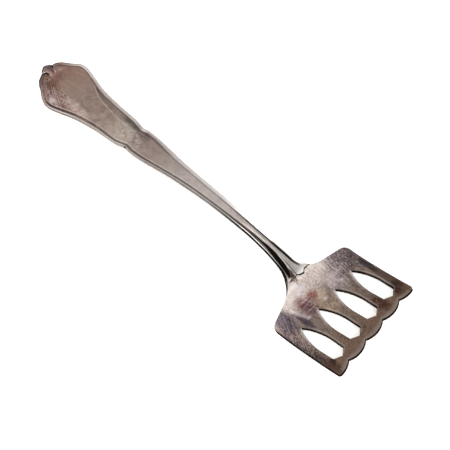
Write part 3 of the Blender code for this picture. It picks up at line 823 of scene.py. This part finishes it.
def stroke_distance(points, station, offset):
    """Distance from each point of a grid to a line of points."""
    best = np.inf
    for (s0, y0), (s1, y1) in zip(points, points[1:]):
        along, over = s1 - s0, y1 - y0
        t = ((station - s0) * along + (offset - y0) * over) / (along ** 2 + over ** 2)
        t = np.clip(t, 0.0, 1.0)
        best = np.minimum(best, np.hypot(station - s0 - t * along, offset - y0 - t * over))
    return best


for points, width, lift, dark, pale in STROKES.values():
    mark = bump(stroke_distance(points, station, offset), width)
    height += lift * mark
    tarnish = np.maximum(tarnish, np.minimum(dark * mark, 1.0))
    rub = np.maximum(rub, pale * mark)
print(len(STROKES), "strokes in the leaf and scroll")

# %% [markdown]
# ## Skin over the handle
# The grid gives the top. The sides drop from it to a plain underside with rounded edges.
# Past the lap the underside steps up, because the foot sits over the tang of the head. A
# Solidify modifier would copy the relief to the underside, which a stamping doesn't have.
# So each station becomes one ring of points, and a skin over the rings closes the solid.

# %% Skin over rings


def put_mesh(name, points, faces, **marks):
    """New mesh object from points in mm and faces, with named marks on its points."""
    mesh = bpy.data.meshes.new(name)
    mesh.from_pydata((points * MM).tolist(), [], faces)
    for label, values in marks.items():
        layer = mesh.attributes.new(label, "FLOAT", "POINT")
        layer.data.foreach_set("value", values.ravel())
    return put(name, mesh)


def loft(name, rings, **marks):
    """Closed skin over rings of points in mm, with named marks on its points."""
    count, size, _ = rings.shape
    corner = np.arange(count * size).reshape(count, size)
    after = np.roll(corner, -1, axis=1)
    walls = grid_of(corner[:-1], after[:-1], after[1:], corner[1:]).reshape(-1, 4)
    faces = walls.tolist() + [corner[0][::-1].tolist(), corner[-1].tolist()]
    return put_mesh(name, rings.reshape(-1, 3), faces, **marks)


print("a ring has", COLUMNS, "points on top")

# %% Edges, walls and underside
LOWER_ROUND, THIN_SHARE = 0.35, 0.35
UNDER_POINTS = 7
CORNER_POINTS = 4
EDGE_ROUND, WALL_TOP, WALL_SHARE = 0.3, 0.06, 0.3
LEAST_TOP = 0.04
FOOT_BASE = 0.8
UNDERCUT = -1.6
SHEET_HALF = 0.65

edge_drop = curve(((0, 0.3), (LAP, 0.3), (FOOT, 0.12)), station)
edge_turn = np.sqrt(np.clip(1 - (1 - rising(gap, 0, EDGE_ROUND)) ** 2, 0, 1))
height -= edge_drop * (1 - edge_turn)
plain = curve(((0, -1), (LAP - 12, -1), (LAP, -SHEET_HALF), (LAP + 9, -SHEET_HALF)), rows)
under = np.where(rows > LAP, FOOT_BASE, plain)
thin = np.minimum(
    LOWER_ROUND, THIN_SHARE * (np.minimum(height[:, 0], height[:, -1]) - under))
height = np.maximum(height, under[:, None] + LEAST_TOP)
right_wall, left_wall = (
    side - np.minimum(WALL_TOP, WALL_SHARE * (side - under))
    for side in (height[:, -1], height[:, 0]))

turned = [
    (thin * (1 - math.cos(turn)), under + thin * (1 - math.sin(turn)))
    for turn in np.linspace(0, math.pi / 2, CORNER_POINTS)]
lower = [(right, right_wall)] + [(right - inset, low) for inset, low in turned]
for way in np.linspace(1, -1, UNDER_POINTS + 2)[1:-1]:
    lower.append((way * ((right if way > 0 else left) - thin), under))
lower += [(inset - left, low) for inset, low in turned[::-1]] + [(-left, left_wall)]
low_offset, low_height = (grid_of(*values) for values in zip(*lower))
low_toe = curve(FOOT_TOE, low_offset)
low_toe[:, CORNER_POINTS + 1:-CORNER_POINTS - 1] = UNDERCUT
low_station = rows[:, None] + low_toe * toe_share[:, None]
print("a ring has", low_offset.shape[1], "points below")

# %% Handle piece
END_LIP, END_BACK, END_FLAT = 0.01, 0.03, 0.95
END_DARK, WIPED_DARK = 0.9, 0.3

rings = np.concatenate([
    grid_of(station, offset, height), grid_of(low_station, low_offset, low_height)], axis=1)
# The side walls are painted dark as shade, most at the leaf, at the nick and on the neck.
wall_dark = curve((
    (0, 0.9), (8, 0.8), (12, 0.3), (NOTCH - 1.2, 0.35), (NOTCH, 1), (NOTCH + 1.2, 0.35),
    (60, 0.5), (80, 0.55), (92, 0.85), (100, 1), (FOOT, 1)), rows)
side_dark = np.zeros_like(low_offset)
side_dark[:, :CORNER_POINTS] = side_dark[:, -CORNER_POINTS:] = wall_dark[:, None]
ring_dark = np.concatenate([tarnish, side_dark], axis=1)
ring_rub = np.concatenate([rub, np.zeros_like(side_dark)], axis=1)
# The end wall of the foot is painted dark as shade, less on the wiped side.
end_lip = rings[-1:] + (END_LIP, 0, 0)
end_wall = end_lip * (1, 1, 1 - END_FLAT) + (-END_BACK, 0, END_FLAT * FOOT_BASE)
end_dark = np.maximum(ring_dark[-1:], np.where(rings[-1:, :, 1] > 0, END_DARK, WIPED_DARK))
handle = loft(
    "fork_handle", np.concatenate([rings, end_lip, end_wall]),
    tarnish=np.concatenate([ring_dark, end_dark, end_dark]),
    rub=np.concatenate([ring_rub, 0 * end_dark, 0 * end_dark]))
form(handle, handle_plate, handle_plate)

# %% [markdown]
# ## The palm and the tines
# The head is one sheet: a palm that flares from the tang, then five tines between four
# lancet slots, with a scalloped edge. Booleans could pierce it, but they leave long thin
# faces that shade badly. The slots repeat, so the sheet is cut into cells. One cell runs
# from the middle of a tine to the middle of the next, with a slot between: nothing at the
# slot's point, an arc to the full width, then a short slant back to the vertex of its vee.
# Geometry Nodes sets four such cells in a row against the palm, whose mesh also carries
# the narrow outer edges.

# %% Outline of the palm and of a slot
TINES, PITCH, OUTER_EDGE = 5, 8.7, 1.7
SHOULDER_RADIUS = 3.0
SCALLOP, BRIDGE, SLOT_LENGTH = 1.45, 2.4, 17.65
SLOT_HALF, SLOT_OGIVE, SLOT_END_HALF, SLOT_VEE = 2.7, 10.4, 2.55, 1.75
TIP_CORNER = 0.8
VERTEX = FORK_LENGTH - SCALLOP - BRIDGE
SLOT_POINT = VERTEX - SLOT_LENGTH
SLOT_CORNER = SLOT_LENGTH - SLOT_VEE
TANG_GAP = 0.04
TANG = LAP + LAP_STEP + TANG_GAP


def head_half(where):
    """Half width of the palm: neck fillet, straight shoulder and rounded corner."""
    turn = math.pi / 2 - SHOULDER_SLOPE
    reach = NECK_FILLET * math.sin(turn)
    arc_half = NECK_HALF + NECK_FILLET * (1 - math.cos(turn))
    line = arc_half + (where - FLARE - reach) / math.tan(SHOULDER_SLOPE)
    ease = 1 / math.cos(SHOULDER_SLOPE) - math.tan(SHOULDER_SLOPE)
    middle = SHOULDER + SHOULDER_RADIUS * ease
    back = np.clip(middle - where, 0, SHOULDER_RADIUS)
    corner = BLADE_HALF - SHOULDER_RADIUS + np.sqrt(SHOULDER_RADIUS ** 2 - back ** 2)
    straight = middle - where > SHOULDER_RADIUS * math.cos(SHOULDER_SLOPE)
    half = np.where(straight, line, corner)
    half = np.where(where < FLARE + reach, neck_half(where, reach), half)
    return np.where(where < FLARE, curve(RIGHT_SHANK, where), half)


def slot_half(run):
    """Half width of a slot at a distance from its point."""
    radius = (SLOT_OGIVE ** 2 + SLOT_HALF ** 2) / (2 * SLOT_HALF)
    ogive = np.sqrt(radius ** 2 - np.clip(SLOT_OGIVE - run, 0, None) ** 2) - radius + SLOT_HALF
    narrow = (SLOT_HALF - SLOT_END_HALF) * rising(run, SLOT_OGIVE, SLOT_CORNER)
    return (ogive - narrow) * (1 - rising(run, SLOT_CORNER, SLOT_LENGTH))


def tine_end(lateral):
    """Distance from the slot's point to the scalloped edge, beside a tine's middle."""
    bow = ((PITCH / 2) ** 2 + SCALLOP ** 2) / (2 * SCALLOP)
    return SLOT_LENGTH + BRIDGE + SCALLOP - bow + np.sqrt(bow ** 2 - lateral ** 2)


print(f"slot from {SLOT_POINT:.2f} to {VERTEX:.2f} mm")

# %% Half a tine
STRIP_COLUMNS = 13
EDGE_CROWD = 1.7
SLOT_ROWS, VEE_ROWS, END_ROWS = 44, 7, 13

across = 1 - (1 - np.linspace(0, 1, STRIP_COLUMNS)) ** EDGE_CROWD
slot_run = np.concatenate([
    np.linspace(0, SLOT_CORNER, SLOT_ROWS)[:-1], np.linspace(SLOT_CORNER, SLOT_LENGTH, VEE_ROWS)])
end_share = np.linspace(0, 1, END_ROWS)[1:]


def strip(width, nip):
    """Half a tine from its middle outward: (distance from the slot's point, from the middle)."""
    beside_slot = grid_of(slot_run[:, None], width(slot_run)[:, None] * across)
    lateral = width(np.array([SLOT_LENGTH])) * across
    reach = tine_end(lateral) - nip(lateral) - SLOT_LENGTH
    past_slot = grid_of(SLOT_LENGTH + end_share[:, None] * reach, lateral)
    return np.concatenate([beside_slot, past_slot])


def tip_nip(lateral):
    """Rounding of the outermost corner."""
    turned = rising(lateral, OUTER_EDGE - TIP_CORNER, OUTER_EDGE)
    return TIP_CORNER * (1 - np.sqrt(1 - turned ** 2))


inner = strip(lambda run: PITCH / 2 - slot_half(run), np.zeros_like)
outer = strip(lambda run: np.full_like(run, OUTER_EDGE), tip_nip)
print("half a tine has", inner.shape[0], "rows of", inner.shape[1], "points")

# %% Painted highlight and shade beside a slot
# The right side of a slot is pale round its point, a painted highlight, with a thin edge
# painted dark as shade. The left side has a black edge, painted shade, with a painted
# highlight line beside it. Past the slot both halves of a tine grow lighter toward its end.
RIM_WIDTH, RIM_HIGHLIGHT, TIP_PALE = 1.1, 0.7, 0.22
BRIGHT_LINE, BRIGHT_AT, BRIGHT_WIDTH = 0.3, 0.6, 0.2
FAR_DARK, FAR_LINE, FAR_CORE = 0.85, 0.3, 0.5
EDGE_DARK, SLOT_DARK, DARK_CORE = 0.34, 0.22, 0.7

run, lateral = inner[..., 0], inner[..., 1]
in_slot = run < SLOT_LENGTH
from_edge = PITCH / 2 - slot_half(run) - lateral
far_rub = RIM_HIGHLIGHT * (1 - rising(from_edge, 0, RIM_WIDTH)) * (1 - rising(run, 2, 9))
far_rub[len(slot_run):] = TIP_PALE * rising(end_share, 0.5, 0.85)[:, None]
far_dark = FAR_DARK * (1 - rising(from_edge, FAR_CORE * FAR_LINE, FAR_LINE))
far_dark *= in_slot * rising(run, 3, 7)
bright = BRIGHT_LINE * bump(from_edge - BRIGHT_AT, BRIGHT_WIDTH) * rising(run, 1, 4)
near_rub = np.where(in_slot, bright, far_rub)
near_dark = (1 - rising(from_edge, DARK_CORE * SLOT_DARK, SLOT_DARK)) * in_slot
# The outer tine's left edge is painted dark as shade.
outer_dark = 1 - rising(OUTER_EDGE - outer[..., 1], DARK_CORE * EDGE_DARK, EDGE_DARK)
print(f"points of the slots rubbed by up to {far_rub.max():.0%}")

# %% Slot cell and outer edges


def flat_mesh(name, grids):
    """Flat mesh of several grids of (station, offset, wear and highlight, tarnish and shade), the
    first two in mm.
    """
    places, faces = [], []
    for grid in grids:
        count, size, _ = grid.shape
        corner = np.arange(count * size).reshape(count, size) + sum(map(len, places))
        quads = grid_of(corner[:-1, :-1], corner[1:, :-1], corner[1:, 1:], corner[:-1, 1:])
        faces += quads.reshape(-1, 4).tolist()
        places.append(grid.reshape(-1, 4))
    x, y, rubbed, darkened = np.concatenate(places).T.copy()
    return put_mesh(name, grid_of(x, y, 0), faces, rub=rubbed, tarnish=darkened)


last_axis = (TINES - 1) / 2 * PITCH
cell_sides, edge_sides = [], []
for sign, side_rub, cell_dark in ((-1, near_rub, near_dark), (1, far_rub, far_dark)):
    cell_side = grid_of(SLOT_POINT + run, sign * (lateral - PITCH / 2), side_rub, cell_dark)
    edge_side = grid_of(
        SLOT_POINT + outer[..., 0], sign * (last_axis + outer[..., 1]), 0, (sign < 0) * outer_dark)
    cell_sides.append(cell_side[:, ::sign])
    edge_sides.append(edge_side[:, ::sign])
cell = flat_mesh("slot_cell", cell_sides)
print("a slot cell has", len(cell.data.polygons), "faces")

# %% Palm
PALM_STEP = 0.3
PALE_STREAK = (126.4, -10.6), (129.5, -9.8), (132.9, -8.7)
STREAK_RUB, STREAK_WIDTH = 0.26, 0.55

half_tine = np.concatenate([-across, across]) * PITCH / 2
columns = np.concatenate([
    (tine - (TINES - 1) / 2) * PITCH + half_tine for tine in range(TINES)])
columns = np.concatenate([
    columns[np.abs(columns) <= last_axis],
    last_axis + across * OUTER_EDGE, -last_axis - across * OUTER_EDGE])
columns = np.unique(np.round(columns, 6))
palm_rows = np.linspace(TANG, SLOT_POINT, int((SLOT_POINT - TANG) / PALM_STEP))
palm_station, palm_half = palm_rows[:, None], head_half(palm_rows)[:, None]
palm_offset = palm_half * columns / BLADE_HALF

# Round each slot's point the palm is pale, a painted highlight; the pale streak is wear.
beside_point = np.abs((palm_offset + PITCH / 2 * TINES) % PITCH - PITCH / 2)
near_point = np.hypot(palm_station - SLOT_POINT, beside_point)
point_rub = RIM_HIGHLIGHT * (1 - rising(near_point, 0, RIM_WIDTH)) * (np.abs(palm_offset) < last_axis)
streak = bump(stroke_distance(PALE_STREAK, palm_station, palm_offset), STREAK_WIDTH)
palm_rub = np.maximum(point_rub, STREAK_RUB * streak)
# The palm's left edge is painted dark as shade.
palm_dark = 1 - rising(palm_half + palm_offset, DARK_CORE * EDGE_DARK, EDGE_DARK)
palm_dark *= np.maximum(
    rising(palm_station, SHOULDER, SHOULDER + 2), 1 - rising(palm_station, FOOT + 0.4, FOOT + 2))
palm = grid_of(palm_station, palm_offset, palm_rub, palm_dark)
head = flat_mesh("fork_head", [palm] + edge_sides)
print("palm grid:", palm_offset.shape)

# %% Tree that sets the slots in a row
slot_row, given, result = new_tree("slot_row", (
    ("Geometry", "Geometry"), ("Cell", "Object"), ("Slots", "Int"), ("First", "Vector"),
    ("Step", "Vector"), ("Weld", "Float"), ("Plate", "Material"),
))
one_cell = add_node(slot_row, "GeometryNodeObjectInfo", {"Object": given["Cell"]})
line = add_node(slot_row, "GeometryNodeMeshLine", {
    "Count": given["Slots"], "Start Location": given["First"], "Offset": given["Step"],
}, mode="OFFSET")
cells = add_node(slot_row, "GeometryNodeInstanceOnPoints", {
    "Points": line, "Instance": one_cell.outputs["Geometry"]})
sheet = add_node(slot_row, "GeometryNodeJoinGeometry", {"Geometry": cells})
fill(slot_row, sheet, {0: given["Geometry"]})
whole = add_node(slot_row, "GeometryNodeRealizeInstances", {"Geometry": sheet})
welded = add_node(slot_row, "GeometryNodeMergeByDistance", {
    "Geometry": whole, "Distance": given["Weld"]})
plated = add_node(slot_row, "GeometryNodeSetMaterial", {
    "Geometry": welded, "Material": given["Plate"]})
fill(slot_row, result, {0: plated})
print(slot_row.name, "has", len(slot_row.nodes), "nodes")

# %% Head piece
SHEET = 2 * SHEET_HALF
EDGE_BEVEL, BEVEL_STEPS = 0.2, 3
EDGE_ANGLE = math.radians(60)
WELD = 0.002

use_tree(head, slot_row, {
    "Cell": cell, "Slots": TINES - 1, "First": (0, (PITCH / 2 - last_axis) * MM, 0),
    "Step": (0, PITCH * MM, 0), "Weld": WELD * MM, "Plate": head_plate,
})
thick = head.modifiers.new("sheet", "SOLIDIFY")
thick.thickness, thick.offset = SHEET * MM, 0.0
round_edge = head.modifiers.new("edge", "BEVEL")
round_edge.width, round_edge.segments = EDGE_BEVEL * MM, BEVEL_STEPS
round_edge.limit_method, round_edge.angle_limit = "ANGLE", EDGE_ANGLE
form(head, head_plate, edge)
bpy.data.objects.remove(cell)

# %% [markdown]
# ## The solder
# Solder fills the lap as a thin film and runs out at the end of the foot. On one side it
# stands as a narrow line round the tongue, painted black as the step's shadow. On the other
# it was wiped into a short, thin slope that hides the step, streaked with brown. A bevel
# could stand for it, but its width changes all the way across. So film and slope are one
# loft, and its front edge dips into the palm, so that no gap shows.

# %% Film in the lap, slope at the end of the foot
FILM, CLEARANCE = 0.1, 0.02
FILM_BASE = SHEET_HALF + CLEARANCE
FILM_ROWS, WASH_ROWS, SOLDER_COLUMNS = 20, 22, 91
SOLDER_INSET, FILM_END = 0.25, 2.2
WASH_LEFT, WASH_RIGHT = -4.2, 4.9
WIPED_FROM, WIPED_FULL = -0.4, 1.0
LEFT_FEATHER, RIGHT_FEATHER = 1.2, 0.5
UNDER_FOOT, LAPPED, CREST, CREST_RUN = 0.1, 0.4, 0.1, 0.05
SUNK, PROUD, WASH_DEPTH = 0.02, 0.01, 0.2
LEDGE, NARROW, WIDE = 0.3, 0.35, 0.6
WIPED_BARE, FAR_BARE = 0.65, 0.1


def eased(value, start, end):
    """Ramp from 0 to 1 that starts and ends level."""
    way = rising(value, start, end)
    return way * way * (3 - 2 * way)


at = np.linspace(LAP + LAP_STEP + CLEARANCE, FOOT - FILM_END, FILM_ROWS)[:, None]
half = np.minimum(handle_half(RIGHT_SIDE, at), handle_half(LEFT_SIDE, at)) - SOLDER_INSET
y = np.linspace(-1, 1, SOLDER_COLUMNS) * half
film = grid_of(at, y, FILM_BASE + FILM, FILM_BASE, 0)

y = np.linspace(WASH_LEFT, WASH_RIGHT, SOLDER_COLUMNS)
wiped = eased(-y, WIPED_FROM, WIPED_FULL)
feathered = eased(y, WASH_LEFT, WASH_LEFT + LEFT_FEATHER)
feathered *= eased(-y, -WASH_RIGHT, RIGHT_FEATHER - WASH_RIGHT)
foot_end = FOOT + curve(FOOT_TOE, y)
foot_top = np.interp(y, offset[-1], height[-1])
start = foot_end - UNDER_FOOT - LAPPED * wiped
finish = foot_end + NARROW + WIDE * wiped * feathered
rise = LEDGE + (foot_top + PROUD - SHEET_HALF - LEDGE) * wiped
crest = SHEET_HALF - SUNK + (rise + SUNK) * feathered
# Black where it is not wiped, a painted shadow of the step round the tongue; lighter on the wiped
# side, and lighter still beyond 2.4 mm to the left, a painted highlight.
dark = 1 - wiped * (WIPED_BARE + FAR_BARE * eased(-y, 2.4, 3.6))
at = start + (finish - start) * np.arange(WASH_ROWS)[:, None] / (WASH_ROWS - 1)
high = crest - (crest - SHEET_HALF + SUNK) * eased(at, foot_end - CREST, finish)
high -= (PROUD + SUNK) * (1 - rising(at, start, foot_end - CREST + CREST_RUN)) * wiped
wash = grid_of(at, y, high, SHEET_HALF - WASH_DEPTH, dark)
print("film:", film.shape[:2], "points, slope:", wash.shape[:2])

# %% Solder piece
at, y, high, low, dark = np.moveaxis(np.concatenate([film, wash]), -1, 0)
upper, base = grid_of(at, y, high), grid_of(at, y, low)
solder = loft(
    "solder_fillet", np.concatenate([upper, base[:, ::-1]], axis=1),
    tarnish=np.concatenate([dark, 0 * dark], axis=1))
form(solder, solder_metal, solder_metal)
bpy.data.objects.remove(spine)

# %% [markdown]
# ## Stage
# The floor is plain and pale. A painted backdrop could hold the light, but a sky of nodes
# is smoother: broad and soft, and brightest above the camera's side. One soft lamp adds
# gloss. The camera looks down at the angle of the photograph, slightly rolled.

# %% Floor
FLOOR_SIZE = 6000
PAPER_WHITE, PAPER_ROUGH = "#FBFAF8", 0.9

corners = np.array([(-1, -1, 0), (1, -1, 0), (1, 1, 0), (-1, 1, 0)])
floor = put_mesh("floor", corners * FLOOR_SIZE / 2, [(0, 1, 2, 3)])
# Matt white, so that the fork stands on light with only a soft shadow.
paper, tree, shader = new_material("white_paper")
fill(tree, shader, {"Base Color": linear(PAPER_WHITE), "Roughness": PAPER_ROUGH})
floor.data.materials.append(paper)
print("floor is", FLOOR_SIZE, "mm wide")

# %% Light
SKY_TOWARD = 0.15, -0.10, 0.98
SKY_FADES, SKY_GLOW = (0.25, 0.95), (0.3, 1.55)
SKY_WHITE = "#FFFFFF"
LAMP_WATTS, LAMP_SIZE, LAMP_AT = 3.2, 300, (130, -130, 540)

world = bpy.data.worlds.new("studio")
world.use_nodes = True
bpy.context.scene.world = world
sky = world.node_tree
facing = add_node(sky, "ShaderNodeTexCoord").outputs["Generated"]
toward = maths(sky, "VectorMath", "DOT_PRODUCT", facing, SKY_TOWARD)
glow = remap(sky, toward.outputs["Value"], SKY_FADES, SKY_GLOW)
fill(sky, sky.nodes["Background"], {"Color": linear(SKY_WHITE), "Strength": glow})

lamp_data = bpy.data.lights.new("softbox", "AREA")
lamp_data.energy, lamp_data.size = LAMP_WATTS, LAMP_SIZE * MM
lamp = put("softbox", lamp_data)
lamp.location = Vector(LAMP_AT) * MM
lamp.rotation_euler = (-lamp.location).to_track_quat("-Z", "Y").to_euler()
print(f"lamp {lamp.location.length / MM:.0f} mm away")

# %% Camera
TARGET = 12.62, -2.28, 1.4
DISTANCE, AZIMUTH, ELEVATION, ROLL = 339.2, 37.45, 70.9, 3.64
LENS, SENSOR = 80.0, 36.0

camera_data = bpy.data.cameras.new("camera")
camera_data.lens, camera_data.sensor_width = LENS, SENSOR
camera = put("camera", camera_data)
around, above = math.radians(AZIMUTH), math.radians(ELEVATION)
back = Vector((
    math.sin(around) * math.cos(above), -math.cos(around) * math.cos(above), math.sin(above)))
aim = Vector(TARGET) * MM
turned = back.to_track_quat("Z", "Y").to_matrix() @ Matrix.Rotation(math.radians(ROLL), 3, "Z")
camera.matrix_world = Matrix.Translation(aim + back * DISTANCE * MM) @ turned.to_4x4()
bpy.context.scene.camera = camera
bpy.context.scene.view_settings.view_transform = "Standard"
print("camera at", [round(value / MM, 1) for value in camera.location], "mm")

# %% [markdown]
# ## Hand the pieces to the frame
# Each piece rides on the fork's one body, and stands for its CAD node.

# %% Ride and replace
for piece, node, slot in (
    (handle, "handle", "handle_plate"), (head, "blade", "head_plate"),
    (solder, "solder_seam", "solder"),
):
    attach(piece, "root")
    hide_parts(node)
